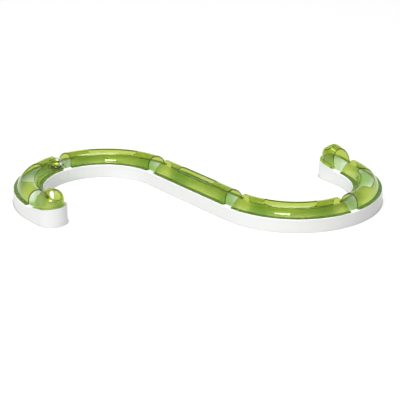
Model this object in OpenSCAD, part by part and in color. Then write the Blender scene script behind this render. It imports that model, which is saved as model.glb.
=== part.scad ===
// Ball track toy for cats: an S of channel modules with clear covers and a ball
// Millimetres, +Z up, the S is centred on the origin and stands on z = 0

/* [Track plan] */
// Length of the straight module in the middle of the S
straight_len = 236; // [200:1:320]
// Radius of a curve's centreline
curve_r = 144; // [120:1:220]
// Length of an end cap before its round tip
cap_len = 35; // [25:1:60]
// Gap between the end faces of two bases
joint_gap = 0.3; // [0.2:0.05:0.8]

/* [Bases] */
// Wall thickness of the bases
base_wall = 2; // [1.4:0.1:3]
// Height of the trough's underside above the floor
trough_lift = 3.7; // [3:0.1:10]
// Height of the channel's axis above the rim
axis_rise = 0.2; // [0.1:0.1:3]
// Width from the side of the channel out to the foot of the side wall
rim_w = 9.5; // [8:0.5:16]
// How far a side wall leans in on its way up
wall_lean = 0.5; // [0.2:0.1:2]
// Radius along the outer edge of the rim
edge_r = 1.5; // [0.8:0.1:1.8]
// Rise of an end cap's rim from its joint to its tip
cap_rise = 10.5; // [4:0.5:14]

/* [Covers] */
// Wall thickness of the covers
cover_wall = 2; // [1.4:0.1:3]
// Thickness of the flange that rests on the rim
flange_t = 1.8; // [1.2:0.1:3]
// Width of rim left bare outside the flange
ledge = 1.25; // [0.8:0.05:2]
// Distance from a joint to the cover's end, at the rim
cover_setback = 10; // [6:0.5:16]
// Angle by which a cover's end leans back
cover_lean = 16.6; // [5:0.1:25]
// Radius of the flange's corners
flange_corner = 3; // [1:0.5:4]
// Width of the paw slot along the top of a cover
slot_w = 24; // [18:1:32]
// Share of a module's length that its slot takes
slot_share = 0.43; // [0.3:0.01:0.6]
// Radius of the slot's corners
slot_corner = 6; // [2:0.5:8]

/* [End cap covers] */
// Distance from the end of the straight part on to the dome's centre
dome_shift = 3; // [0:0.5:8]
// Height of the dome's centre above the level rim
dome_rise = 18.5; // [14:0.5:30]
// Height of the arch's centre above the level rim at the open end
mouth_rise = 10; // [6:0.5:14]
// Diameter of the round peep hole
hole_d = 22.5; // [16:0.5:26]
// Angle of the peep hole's axis above the floor
hole_pitch = 51; // [40:1:65]
// Depth of the collar inside the peep hole
collar_len = 3; // [1:0.5:5]

/* [Locating pegs] */
// Diameter of the pegs under the flanges
peg_d = 3; // [2:0.1:3.4]
// Length of a peg below the flange
peg_len = 3.5; // [2.5:0.1:6]
// Gap all round a peg in its socket
peg_gap = 0.3; // [0.15:0.05:0.5]
// Distance from a joint to the pegs, along the centreline
peg_in = 17; // [15:0.5:24]

/* [Joint tongues] */
// Width of a tongue
tongue_w = 9; // [6:0.5:11]
// Thickness of a tongue
tongue_t = 3; // [2:0.1:4]
// Height of a tongue's underside above the floor
tongue_z = 5; // [4:0.5:8]
// Space between a tongue and the inside of the side wall
tongue_side = 3; // [1.5:0.5:4]
// Length of a tongue's root inside its own module
tongue_root = 7; // [4:0.5:12]
// Gap all round a tongue in its slot
tongue_gap = 0.4; // [0.2:0.05:0.6]
// Height of the barb on a tongue
barb_h = 1.2; // [0.8:0.1:2]
// Length of the barb on a tongue
barb_len = 3; // [2:0.5:6]

/* [Webs] */
// Thickness of the cross webs under a base
web_t = 1.6; // [1:0.1:2.5]
// Height of the webs' lower edge above the floor
web_lift = 1.5; // [0.5:0.1:3]
// Number of cross webs between the two end walls
web_count = 3; // [1:1:6]

/* [Ball] */
// Diameter of the ball
ball_d = 39; // [32:0.5:44]
// Difference between the channel's radius and the ball's
ball_gap = 1; // [0.8:0.1:3]
// Gap under the ball at the lowest line of the channel
run_gap = 0.3; // [0.2:0.05:0.5]
// Place of the ball in its loop, an angle about the loop's centre
ball_deg = 184; // [100:1:260]
// Wall thickness of the ball's shells
ball_wall = 2; // [1.5:0.1:3]
// Height of the lip that joins the two shells
lip_h = 1.6; // [1:0.1:3]
// Thickness of the lip
lip_t = 0.8; // [0.5:0.1:1.1]
// Gap between the lip and the shell round it
lip_gap = 0.15; // [0.1:0.05:0.3]

/* [Light pod inside the ball] */
// Diameter of the button cells
cell_d = 11.6; // [7.9:0.1:12.5]
// Thickness of a button cell
cell_h = 5.4; // [3.6:0.1:5.4]
// Space between the cells and the pod's wall
cell_side = 4; // [2:0.1:4.5]
// Wall thickness of the pod
pod_wall = 1.2; // [0.8:0.1:1.6]
// Height of the room above the circuit board
pod_room = 3.2; // [3:0.1:4]
// Thickness of the circuit board
board_t = 1.2; // [0.8:0.1:1.6]
// Gap between loose-fitting pieces of the pod
pod_gap = 0.15; // [0.1:0.05:0.25]
// Diameter of the light's clear body
led_d = 5; // [3:0.1:5]
// Height of the light above the board, without its dome
led_h = 4.4; // [3.6:0.1:5]
// Diameter of the motion switch
switch_d = 2.6; // [2:0.1:2.8]
// Length of the motion switch
switch_len = 7; // [4:0.5:8]
// How deep the pod's ends sit in the rings of the shells
ring_grip = 3; // [2:0.5:4]
// Thickness of those rings and of the shoulder inside them
ring_t = 1.2; // [0.8:0.1:2]

/* [Hidden] */
$fn = 96;

// How far cutting shapes run past what they cut
cut = 1;

// Heights and half widths that the channel gives the bases
channel_r = ball_d / 2 + ball_gap;
trough_r = channel_r + base_wall;
axis_z = trough_lift + trough_r;
base_h = axis_z - axis_rise;
base_half = channel_r + rim_w;
rim_half = base_half - wall_lean;
half_gap = joint_gap / 2;

// End caps: the slope of the rim and the line on which the channel's axis climbs
cap_slope = atan(cap_rise / (cap_len + rim_half));
cap_top = base_h + 2 * cap_rise;
dome_x = cap_len + dome_shift;
ramp_z = axis_z + channel_r * (1 / cos(cap_slope) - 1);
ramp_end_z = ramp_z + dome_x * tan(cap_slope);

// Covers
cover_r = channel_r + cover_wall;
flange_half = rim_half - ledge;
slot_half = slot_w / 2;
curve_len = curve_r * PI / 2;
curve_slot_half = curve_len * slot_share / 2;
dome_z = base_h + dome_rise;
mouth_z = base_h + mouth_rise;
barrel_pitch = atan((dome_z - mouth_z) / (dome_x - cover_setback));
hole_r = hole_d / 2;
collar_r = hole_r + cover_wall;
hole_face = sqrt(cover_r * cover_r - collar_r * collar_r);

// Pegs stand midway between the arch and the flange's edge
peg_r = peg_d / 2;
peg_y = (cover_r + flange_half) / 2;
peg_deg = asin(peg_in / curve_r);

// Tongues lie beside the trough, close to the side wall
tongue_y = base_half - base_wall - tongue_side - tongue_w / 2;
wall_back = half_gap + base_wall;
barb_x = wall_back + tongue_gap;

// Ball and pod, measured from the ball's centre
ball_r = ball_d / 2;
ball_in = ball_r - ball_wall;
ball_z = axis_z - channel_r + run_gap + ball_r;
pod_in = cell_d / 2 + cell_side;
pod_r = pod_in + pod_wall;
pod_h = 2 * pod_wall + 2 * cell_h + 3 * pod_gap + board_t + pod_room;
cell_z = -pod_h / 2 + pod_wall + pod_gap / 2;
board_z = cell_z + 2 * cell_h + 1.5 * pod_gap;
board_top = board_z + board_t;
ring_in = pod_r + pod_gap;
ring_out = ring_in + ring_t;
shoulder_z = pod_h / 2 + pod_gap / 2;

// Placing modules

// Lays a section drawn across the track along x, from x = 0
module along_x(length) {
    rotate([90, 0, 90]) linear_extrude(length) children();
}

// Sweeps a section drawn across the track round a quarter loop
module quarter_loop() {
    rotate_extrude(angle = 90) translate([curve_r, 0]) children();
}

// The two ends of the straight module, each with x pointing out of the module
module straight_ends() {
    for (turn = [0, 180])
        rotate(turn) translate([straight_len / 2, 0, 0]) children();
}

// The two ends of a curve, each with x pointing out of the module
module curve_ends() {
    translate([curve_r, 0, 0]) rotate(-90) children();
    translate([0, curve_r, 0]) rotate(180) children();
}

// A loop's centre, with the curve that starts at the given angle
module on_left_loop(start) {
    translate([-straight_len / 2, -curve_r, 0]) rotate(start) children();
}

module on_right_loop(start) {
    translate([straight_len / 2, curve_r, 0]) rotate(start) children();
}

// An end cap's own frame: x runs from its joint to its tip
module on_left_end() {
    translate([-straight_len / 2, -2 * curve_r, 0]) children();
}

module on_right_end() {
    rotate(180) on_left_end() children();
}

// Sections across the track

// Outside of a base, with a round along both edges of the rim
module base_outline() {
    difference() {
        side_outline(0, 0, base_h);
        for (side = [0, 1])
            mirror([side, 0]) translate([rim_half - edge_r, base_h - edge_r]) difference() {
                square(edge_r + cut);
                circle(edge_r);
            }
    }
}

// Side walls lean in as far as the rim's round and stand upright above it
module side_outline(inset, low, high) {
    foot = base_half - inset;
    head = rim_half - inset;
    knee = base_h - edge_r - inset;
    polygon([
        [-foot, low], [foot, low], [head, knee], [head, high], [-head, high], [-head, knee]
    ]);
}

// Hollow under a base: everything inside the walls that isn't trough
module hollow_section() {
    difference() {
        side_outline(base_wall, -cut, base_h - base_wall);
        translate([0, axis_z]) circle(trough_r);
    }
}

// Thin shell of a base: side walls, rim and half-round trough
module base_section() {
    difference() {
        base_outline();
        translate([0, axis_z]) circle(channel_r);
        hollow_section();
    }
}

// A cross web, which reaches half a wall into the shell round it
module web_section() {
    difference() {
        side_outline(base_wall / 2, web_lift, base_h - base_wall / 2);
        translate([0, axis_z]) circle(channel_r + base_wall / 2);
        translate([-base_half, -cut]) square([2 * base_half, web_lift + cut]);
    }
}

// Arch of a cover with a flange on each side
module cover_section() {
    difference() {
        union() {
            translate([0, axis_z]) circle(cover_r);
            translate([-flange_half, base_h]) square([2 * flange_half, flange_t]);
        }
        translate([0, axis_z]) circle(channel_r);
        translate([-cover_r - cut, axis_z - cover_r - cut])
            square([2 * cover_r + 2 * cut, cover_r + cut - axis_rise]);
    }
}

// Details of a base's end, drawn where x points out of the module

// Wall that closes the hollow at a joint
module end_wall() {
    translate([-wall_back, 0, 0]) along_x(wall_back) web_section();
}

// Barbed tongue on the left side, which hooks behind the next module's end wall
module tongue() {
    top = tongue_z + tongue_t;
    tip = barb_x + barb_len;
    translate([0, tongue_y + tongue_w / 2, 0]) rotate([90, 0, 0]) linear_extrude(tongue_w)
        polygon([
            [-tongue_root, tongue_z], [tip, tongue_z], [tip, top],
            [barb_x, top + barb_h], [barb_x, top], [-tongue_root, top]
        ]);
}

// Slot on the right side, for the next module's tongue
module tongue_slot() {
    slot_y = -tongue_y - tongue_w / 2 - tongue_gap;
    translate([-wall_back - cut, slot_y, tongue_z - tongue_gap])
        cube([wall_back + 2 * cut, tongue_w + 2 * tongue_gap, tongue_t + 2 * tongue_gap]);
}

// Takes half the joint gap off a module's end
module joint_trim() {
    translate([-half_gap, -base_half - cut, -cut])
        cube([half_gap + cut, 2 * base_half + 2 * cut, base_h + 2 * cut]);
}

module socket() {
    translate([0, 0, base_h - base_wall - cut]) cylinder(h = base_wall + 2 * cut, r = peg_r + peg_gap);
}

module peg() {
    translate([0, 0, base_h - peg_len]) cylinder(h = peg_len + flange_t / 2, r = peg_r);
}

// Places of the pegs of a straight cover and of a curved one
module straight_peg_places() {
    for (x = [-1, 1], y = [-1, 1])
        translate([x * (straight_len / 2 - peg_in), y * peg_y, 0]) children();
}

module curve_peg_places() {
    for (turn = [peg_deg, 90 - peg_deg], y = [-1, 1])
        rotate(turn) translate([curve_r + y * peg_y, 0, 0]) children();
}

// Places of the pegs of an end cap: near the joint and beside the dome
module cap_peg_places() {
    for (x = [peg_in, dome_x], y = [-1, 1]) translate([x, y * peg_y, 0]) children();
}

// Bases

module straight_base() {
    pitch = straight_len / (web_count + 1);
    color("whitesmoke") union() {
        difference() {
            union() {
                translate([-straight_len / 2, 0, 0]) along_x(straight_len) base_section();
                straight_ends() end_wall();
                for (i = [1 : web_count])
                    translate([i * pitch - straight_len / 2 - web_t / 2, 0, 0]) along_x(web_t) web_section();
            }
            straight_ends() joint_trim();
            straight_ends() tongue_slot();
            straight_peg_places() socket();
        }
        straight_ends() tongue();
    }
}

module curve_base() {
    color("whitesmoke") union() {
        difference() {
            union() {
                quarter_loop() base_section();
                curve_ends() end_wall();
                for (i = [1 : web_count])
                    rotate(i * 90 / (web_count + 1)) translate([curve_r, -web_t / 2, 0])
                        mirror([0, 1, 0]) rotate([90, 0, 0]) linear_extrude(web_t) web_section();
            }
            curve_ends() joint_trim();
            curve_ends() tongue_slot();
            curve_peg_places() socket();
        }
        curve_ends() tongue();
    }
}

// Stadium in plan, as an end cap's outline, extruded up from z = 0
module cap_block(section_inset, start, low) {
    translate([start, 0, 0]) along_x(cap_len - start) side_outline(section_inset, low, cap_top);
    translate([cap_len, 0, 0]) rotate(-90) rotate_extrude(angle = 180) intersection() {
        side_outline(section_inset, low, cap_top);
        translate([0, low - cut]) square([base_half + cut, cap_top - low + 2 * cut]);
    }
}

// Everything above the sloping rim of a cap, raised by a given height
module above_rim(raise) {
    reach = cap_len + 2 * base_half;
    translate([0, 0, base_h + raise]) rotate([0, -cap_slope, 0])
        translate([-reach / 2, -base_half - cut, 0])
            cube([2 * reach, 2 * base_half + 2 * cut, reach]);
}

module below_rim() {
    reach = cap_len + 2 * base_half;
    translate([0, 0, base_h]) rotate([0, -cap_slope, 0])
        translate([-reach / 2, -base_half - cut, -reach])
            cube([2 * reach, 2 * base_half + 2 * cut, reach]);
}

// Climbing channel of an end cap, closed by a round end under the dome
module ramp(r) {
    run = dome_x / cos(cap_slope);
    translate([0, 0, ramp_z]) rotate([0, 90 - cap_slope, 0]) translate([0, 0, -r])
        cylinder(h = run + r, r = r);
    translate([dome_x, 0, ramp_end_z]) sphere(r);
    translate([dome_x, 0, ramp_end_z]) cylinder(h = cap_top, r = r);
}

// Cross web of a cap, halfway between its pegs
module cap_web() {
    web_half = rim_half - base_wall / 2;
    difference() {
        translate([(peg_in + dome_x - web_t) / 2, -web_half, web_lift])
            cube([web_t, 2 * web_half, cap_top]);
        ramp(channel_r + base_wall / 2);
        above_rim(-base_wall / 2);
    }
}

module end_base() {
    color("whitesmoke") union() {
        difference() {
            cap_block(0, half_gap, 0);
            above_rim(0);
            ramp(channel_r);
            difference() {
                cap_block(base_wall, wall_back, -cut);
                above_rim(-base_wall);
                ramp(trough_r);
            }
            rotate(180) tongue_slot();
            cap_peg_places() cylinder(h = 2 * cap_top, r = peg_r + peg_gap);
        }
        cap_web();
        rotate(180) tongue();
    }
}

// Covers

// Everything beyond a cover's leaning end face
module end_lean() {
    reach = 2 * cover_r + cover_setback;
    translate([-cover_setback, 0, base_h]) rotate([0, -cover_lean, 0])
        translate([0, -base_half, -reach / 2]) cube([2 * reach, 2 * base_half, 2 * reach]);
}

// Corner between an end edge and a side edge, each given by the direction in which
// it faces, less the round that stays there, drawn about the round's centre
module corner_cut(r, end_deg, side_deg) {
    end_way = [2 * r * cos(end_deg), 2 * r * sin(end_deg)];
    side_way = [2 * r * cos(side_deg), 2 * r * sin(side_deg)];
    difference() {
        polygon([[0, 0], end_way, end_way + side_way, side_way]);
        circle(r);
    }
}

// Rounds a flange corner, also where the rim of an end cap has climbed
module corner_round(end_deg, side_deg) {
    translate([0, 0, base_h - cut]) linear_extrude(cap_top)
        corner_cut(flange_corner, end_deg, side_deg);
}

module straight_corners() {
    for (side = [-1, 1])
        translate([-cover_setback - flange_corner, side * (flange_half - flange_corner), 0])
            corner_round(0, side * 90);
}

// The same on a curve: flange edges are arcs about the loop's centre
module curve_corners() {
    far = cover_setback + flange_corner;
    outer = curve_r + flange_half - flange_corner;
    inner = curve_r - flange_half + flange_corner;
    translate([sqrt(outer * outer - far * far), far, 0]) corner_round(-90, asin(far / outer));
    translate([sqrt(inner * inner - far * far), far, 0]) corner_round(-90, 180 + asin(far / inner));
}

// Round-cornered slot along the top of the straight cover
module straight_slot() {
    length = straight_len * slot_share;
    translate([0, 0, axis_z]) linear_extrude(cover_r + cut) {
        square([length, slot_w - 2 * slot_corner], center = true);
        square([length - 2 * slot_corner, slot_w], center = true);
        for (x = [-1, 1], y = [-1, 1])
            translate([x * (length / 2 - slot_corner), y * (slot_half - slot_corner)]) circle(slot_corner);
    }
}

// The same on a curve, with ends parallel to the curve's middle radius
module curve_slot() {
    far = curve_slot_half - slot_corner;
    outer = curve_r + slot_half - slot_corner;
    inner = curve_r - slot_half + slot_corner;
    outer_deg = asin(far / outer);
    inner_deg = asin(far / inner);
    rotate(45) translate([0, 0, axis_z]) linear_extrude(cover_r + cut) difference() {
        intersection() {
            circle(curve_r + slot_half);
            translate([curve_r / 2, -curve_slot_half]) square([curve_r, 2 * curve_slot_half]);
        }
        circle(curve_r - slot_half);
        for (side = [0, 1]) mirror([0, side]) {
            translate([outer * cos(outer_deg), far]) corner_cut(slot_corner, 90, outer_deg);
            translate([inner * cos(inner_deg), far]) corner_cut(slot_corner, 90, 180 + inner_deg);
        }
    }
}

module straight_cover() {
    color("yellowgreen", 0.7) union() {
        difference() {
            translate([-straight_len / 2, 0, 0]) along_x(straight_len) cover_section();
            straight_ends() end_lean();
            straight_ends() straight_corners();
            straight_slot();
        }
        straight_peg_places() peg();
    }
}

module curve_cover() {
    color("yellowgreen", 0.7) union() {
        difference() {
            quarter_loop() cover_section();
            curve_ends() end_lean();
            curve_corners();
            rotate(90) mirror([0, 1, 0]) curve_corners();
            curve_slot();
        }
        curve_peg_places() peg();
    }
}

// Upper half of a disc, and the half on the side of x
module top_half(r) {
    intersection() {
        circle(r);
        translate([-r, 0]) square([2 * r, r]);
    }
}

module side_half(r) {
    intersection() {
        circle(r);
        translate([0, -r]) square([r, 2 * r]);
    }
}

// Hood of an end cap: a half barrel that climbs to the dome's centre, a dome that
// turns on to the level, and upright sides and tip below them
module hood(r, start) {
    low = base_h - cut;
    length = (dome_x - start) / cos(barrel_pitch);
    start_z = dome_z - (dome_x - start) * tan(barrel_pitch);
    translate([dome_x, 0, dome_z]) rotate([0, -barrel_pitch, 0])
        translate([-length, 0, 0]) along_x(length) top_half(r);
    translate([dome_x, 0, dome_z]) rotate([90, 0, 0])
        rotate_extrude(angle = 90 + barrel_pitch) side_half(r);
    translate([dome_x, 0, low]) linear_extrude(dome_z - low) side_half(r);
    translate([0, r, 0]) rotate([90, 0, 0]) linear_extrude(2 * r)
        polygon([[start, low], [dome_x, low], [dome_x, dome_z], [start, start_z]]);
}

// Flange along the sloping rim of an end cap
module cap_flange() {
    difference() {
        union() {
            translate([0, -flange_half, base_h - cut]) cube([cap_len, 2 * flange_half, cap_top - base_h]);
            translate([cap_len, 0, base_h - cut]) cylinder(h = cap_top - base_h, r = flange_half);
        }
        above_rim(flange_t);
    }
}

// Peep hole's own frame: z runs out of the dome
module on_hole() {
    translate([dome_x, 0, dome_z]) rotate([0, 90 - hole_pitch, 0]) children();
}

module end_cover() {
    color("yellowgreen", 0.7) union() {
        difference() {
            union() {
                difference() {
                    union() {
                        hood(cover_r, 0);
                        cap_flange();
                    }
                    hood(channel_r, -cut);
                }
                on_hole() translate([0, 0, hole_face - collar_len]) cylinder(h = collar_len, r = collar_r);
            }
            on_hole() cylinder(h = 2 * cover_r, r = hole_r);
            on_hole() translate([0, 0, hole_face]) cylinder(h = cover_r, r = collar_r + cover_wall);
            below_rim();
            rotate(180) end_lean();
            rotate(180) straight_corners();
        }
        difference() {
            cap_peg_places() translate([0, 0, base_h - peg_len]) cylinder(h = cap_rise + peg_len, r = peg_r);
            above_rim(flange_t / 2);
            translate([0, 0, -peg_len]) below_rim();
        }
    }
}

// Ball

module on_ball() {
    on_left_loop(ball_deg) translate([curve_r, 0, ball_z]) children();
}

// Half of the hollow ball below its equator, with the ring that holds the pod
module half_shell() {
    difference() {
        union() {
            difference() {
                sphere(ball_r);
                sphere(ball_in);
            }
            intersection() {
                sphere(ball_in + ball_wall / 2);
                translate([0, 0, -ball_r]) cylinder(h = ball_r - shoulder_z + ring_grip, r = ring_out);
            }
        }
        translate([-ball_r - cut, -ball_r - cut, 0])
            cube([2 * ball_r + 2 * cut, 2 * ball_r + 2 * cut, ball_r + cut]);
        translate([0, 0, -shoulder_z]) cylinder(h = ball_r, r = ring_in);
        intersection() {
            sphere(ball_in);
            translate([0, 0, -ball_r]) cylinder(h = ball_r, r = ring_in - ring_t);
        }
    }
}

module ball_shell_lower() {
    color("gainsboro", 0.6) on_ball() union() {
        half_shell();
        difference() {
            translate([0, 0, -lip_h]) cylinder(h = 2 * lip_h, r = ball_in + lip_t);
            sphere(ball_in);
        }
    }
}

module ball_shell_upper() {
    color("gainsboro", 0.6) on_ball() difference() {
        mirror([0, 0, 1]) half_shell();
        translate([0, 0, -cut]) cylinder(h = lip_h + lip_gap + cut, r = ball_in + lip_t + lip_gap);
    }
}

// Pod: a cup for the cells and a lid over the board
module pod_cup() {
    color("dimgray") on_ball() translate([0, 0, -pod_h / 2]) difference() {
        cylinder(h = board_top + pod_h / 2, r = pod_r);
        translate([0, 0, pod_wall]) cylinder(h = pod_h, r = pod_in);
    }
}

module pod_lid() {
    low = board_top + pod_gap;
    color("dimgray") on_ball() difference() {
        translate([0, 0, low]) cylinder(h = pod_h / 2 - low, r = pod_r);
        translate([0, 0, low - cut]) cylinder(h = pod_h / 2 - low - pod_wall + cut, r = pod_in);
        cylinder(h = pod_h, r = led_d / 2 + pod_gap);
    }
}

module circuit_board() {
    color("darkgreen") on_ball() translate([0, 0, board_z]) cylinder(h = board_t, r = pod_in - pod_gap);
}

// Two cells stacked under the board
module button_cells() {
    color("silver") on_ball() for (i = [0, 1])
        translate([0, 0, cell_z + i * (cell_h + pod_gap / 2)]) cylinder(h = cell_h, r = cell_d / 2);
}

// Light in the middle of the board with the motion switch lying beside it
module light_and_switch() {
    color("aliceblue") on_ball() {
        translate([0, 0, board_top]) cylinder(h = led_h, r = led_d / 2);
        translate([0, 0, board_top + led_h]) sphere(led_d / 2);
        translate([(led_d + pod_in) / 2, switch_len / 2, board_top + switch_d / 2])
            rotate([90, 0, 0]) cylinder(h = switch_len, r = switch_d / 2);
    }
}

// Parts

on_left_end() end_base();  // left_end_base
on_left_loop(180) curve_base();  // curve_base_1
on_left_loop(90) curve_base();  // curve_base_2
straight_base();
on_right_loop(-90) curve_base();  // curve_base_3
on_right_loop(0) curve_base();  // curve_base_4
on_right_end() end_base();  // right_end_base
on_left_end() end_cover();  // left_end_cover
on_left_loop(180) curve_cover();  // curve_cover_1
on_left_loop(90) curve_cover();  // curve_cover_2
straight_cover();
on_right_loop(-90) curve_cover();  // curve_cover_3
on_right_loop(0) curve_cover();  // curve_cover_4
on_right_end() end_cover();  // right_end_cover
ball_shell_lower();
ball_shell_upper();
pod_cup();
pod_lid();
circuit_board();
button_cells();
light_and_switch();
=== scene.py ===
# %% [markdown]
# This notebook dresses a ball track toy for cats. The frame below brings in every moulded
# piece at its real size, in metres, with the middle of the S on the floor at the origin.
# The white bases keep their shapes from it. The clear covers and the ball are made again
# here as smooth, even grids, because light bends in them and would show every long triangle.

# %% Load the frame
import math

import bmesh
import bpy
import numpy as np
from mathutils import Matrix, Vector


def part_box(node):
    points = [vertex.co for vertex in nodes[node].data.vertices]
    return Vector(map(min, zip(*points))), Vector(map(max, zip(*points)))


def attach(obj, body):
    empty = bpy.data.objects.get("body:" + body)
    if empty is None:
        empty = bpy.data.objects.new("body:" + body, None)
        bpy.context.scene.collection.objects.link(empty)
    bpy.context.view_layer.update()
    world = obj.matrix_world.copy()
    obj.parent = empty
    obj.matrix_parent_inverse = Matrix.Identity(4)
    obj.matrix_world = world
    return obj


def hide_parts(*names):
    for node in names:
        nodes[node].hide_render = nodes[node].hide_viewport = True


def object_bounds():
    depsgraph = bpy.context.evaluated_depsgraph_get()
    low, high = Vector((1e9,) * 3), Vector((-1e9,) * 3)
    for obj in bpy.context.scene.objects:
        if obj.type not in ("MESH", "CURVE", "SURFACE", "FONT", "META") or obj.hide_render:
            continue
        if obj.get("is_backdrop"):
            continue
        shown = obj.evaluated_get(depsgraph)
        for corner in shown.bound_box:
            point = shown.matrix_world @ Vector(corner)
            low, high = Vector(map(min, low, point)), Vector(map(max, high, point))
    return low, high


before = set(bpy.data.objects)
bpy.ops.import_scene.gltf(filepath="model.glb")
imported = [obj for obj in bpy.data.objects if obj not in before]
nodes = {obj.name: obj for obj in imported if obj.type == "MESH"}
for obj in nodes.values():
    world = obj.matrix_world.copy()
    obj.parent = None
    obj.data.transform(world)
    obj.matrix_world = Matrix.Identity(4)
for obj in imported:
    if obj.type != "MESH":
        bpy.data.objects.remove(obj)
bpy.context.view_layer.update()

# %% [markdown]
# All sizes are real ones in millimetres. The pieces made here have to sit exactly where the
# frame's pieces are, so the sizes are the ones that the mould maker would read off the
# drawing: the channel, the cover's section, the slots and the peep hole.

# %% Sizes of the track and its covers
MM = 0.001

# The plan: the straight, the curves' centreline, an end cap up to its round tip
STRAIGHT_LEN = 236.0
CURVE_R = 144.0
CAP_LEN = 35.0

# The white channel: its radius, the height of its axis and of the rim, half the width
# over both rims, and how far an end cap's rim climbs to its tip
CHANNEL_R = 20.5
AXIS_Z = 26.2
RIM_Z = 26.0
RIM_HALF = 29.5
CAP_RISE = 10.5
CAP_SLOPE = CAP_RISE / (CAP_LEN + RIM_HALF)

# The covers: wall, flange, the distance from a joint to a cover's end at the rim, and the
# lean of that end, as millimetres back for each millimetre up
COVER_WALL = 2.0
FLANGE_T = 1.8
FLANGE_HALF = 28.25
FLANGE_CORNER = 3.0
FLANGE_FILLET = 0.8
SETBACK = 10.0
LEAN = math.tan(math.radians(16.6))

# The paw slot: half its width, its corners, and its share of a module's length
SLOT_HALF = 12.0
SLOT_CORNER = 6.0
SLOT_SHARE = 0.43

# The end covers: the dome's centre, the height of the arch's centre at the open mouth,
# and the peep hole with the pitch of its axis and the collar behind it
DOME_X = 38.0
DOME_Z = 44.5
MOUTH_Z = 36.0
HOLE_R = 11.25
HOLE_PITCH = math.radians(51)
COLLAR_LEN = 3.0

# The pegs under the flanges, the last value counted from the joint along the centreline
PEG_R = 1.5
PEG_LEN = 3.5
PEG_TIP_LEN = 0.5
PEG_TIP_R = PEG_R * 0.7
PEG_IN = 17.0

cover_r = CHANNEL_R + COVER_WALL
peg_y = (cover_r + FLANGE_HALF) / 2
print(f"cover {2 * cover_r:.0f} mm wide, {AXIS_Z + cover_r:.1f} mm high")

# %% [markdown]
# A photograph is matched from its camera first. The toy was seen from a bit over three
# metres away through a long lens, 22 degrees above the floor, so parallel edges stay nearly
# parallel. The lens comes from the image: its focal length in pixels, over a frame that is
# 400 pixels wide, is carried over to a 36 mm film.

# %% Camera
FRAME_PX = 400.0
FOCAL_PX = 1545.36
CENTRE_PX = (197.87, 197.75)
CAMERA_DISTANCE = 3.02669
CAMERA_AZIMUTH = math.radians(50.46)
CAMERA_ELEVATION = math.radians(22.05)
FILM_MM = 36.0
FARTHEST_SEEN = 50.0

towards_camera = Vector((
    math.sin(CAMERA_AZIMUTH) * math.cos(CAMERA_ELEVATION),
    -math.cos(CAMERA_AZIMUTH) * math.cos(CAMERA_ELEVATION),
    math.sin(CAMERA_ELEVATION),
))
camera_data = bpy.data.cameras.new("photo_camera")
camera_data.sensor_width = FILM_MM
camera_data.lens = FILM_MM * FOCAL_PX / FRAME_PX
camera_data.shift_x = (FRAME_PX / 2 - CENTRE_PX[0]) / FRAME_PX
camera_data.shift_y = -(FRAME_PX / 2 - CENTRE_PX[1]) / FRAME_PX
camera_data.clip_end = FARTHEST_SEEN
camera = bpy.data.objects.new("photo_camera", camera_data)
bpy.context.scene.collection.objects.link(camera)
camera.location = towards_camera * CAMERA_DISTANCE
camera.rotation_euler = towards_camera.to_track_quat("Z", "Y").to_euler()
bpy.context.scene.camera = camera
print(f"lens {camera_data.lens:.1f} mm at {CAMERA_DISTANCE:.2f} m")

# %% [markdown]
# Materials share two small helpers. One turns a colour as a painter would name it, an sRGB
# hex value, into the linear numbers that a shader adds and multiplies. The other adds one
# node, sets its inputs and links whatever input is given as another node's output.

# %% Helpers for materials
def linear(hex_colour):
    """Linear RGBA of an sRGB hex value: each channel c becomes c / 12.92 below 0.04045,
    and ((c + 0.055) / 1.055) to the power 2.4 above it."""
    c = np.array([int(hex_colour[i:i + 2], 16) / 255 for i in (0, 2, 4)])
    low, high = c / 12.92, ((c + 0.055) / 1.055) ** 2.4
    return (*np.where(c <= 0.04045, low, high).tolist(), 1.0)


def add_node(tree, kind, inputs=(), **settings):
    """Adds one node, sets its properties, and fills each named or numbered input with a
    value or with a link from another node's output."""
    made = tree.nodes.new(kind)
    for name, value in settings.items():
        setattr(made, name, value)
    for name, value in dict(inputs).items():
        if isinstance(value, bpy.types.NodeSocket):
            tree.links.new(value, made.inputs[name])
        else:
            made.inputs[name].default_value = value
    return made


def new_material(name):
    """An empty node material and its tree."""
    made = bpy.data.materials.new(name)
    made.use_nodes = True
    made.node_tree.nodes.clear()
    return made, made.node_tree


print("white as written in a shader:", [round(v, 3) for v in linear("F2F4F5")])

# %% [markdown]
# The bases are injection-moulded ABS in a cold white with a polished tool, so they are
# glossy but not mirror-like: a moulding always carries a faint orange peel, ripples a few
# millimetres wide and a few hundredths high. That ripple is what makes the long side walls
# look like plastic and not like paper, and here it is a soft noise that tilts the shading.

# %% White moulded ABS
# Width of the patches over which the roughness drifts, and how far it drifts either way
DRIFT_MM = 60
DRIFT_SHARE = 0.15


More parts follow.
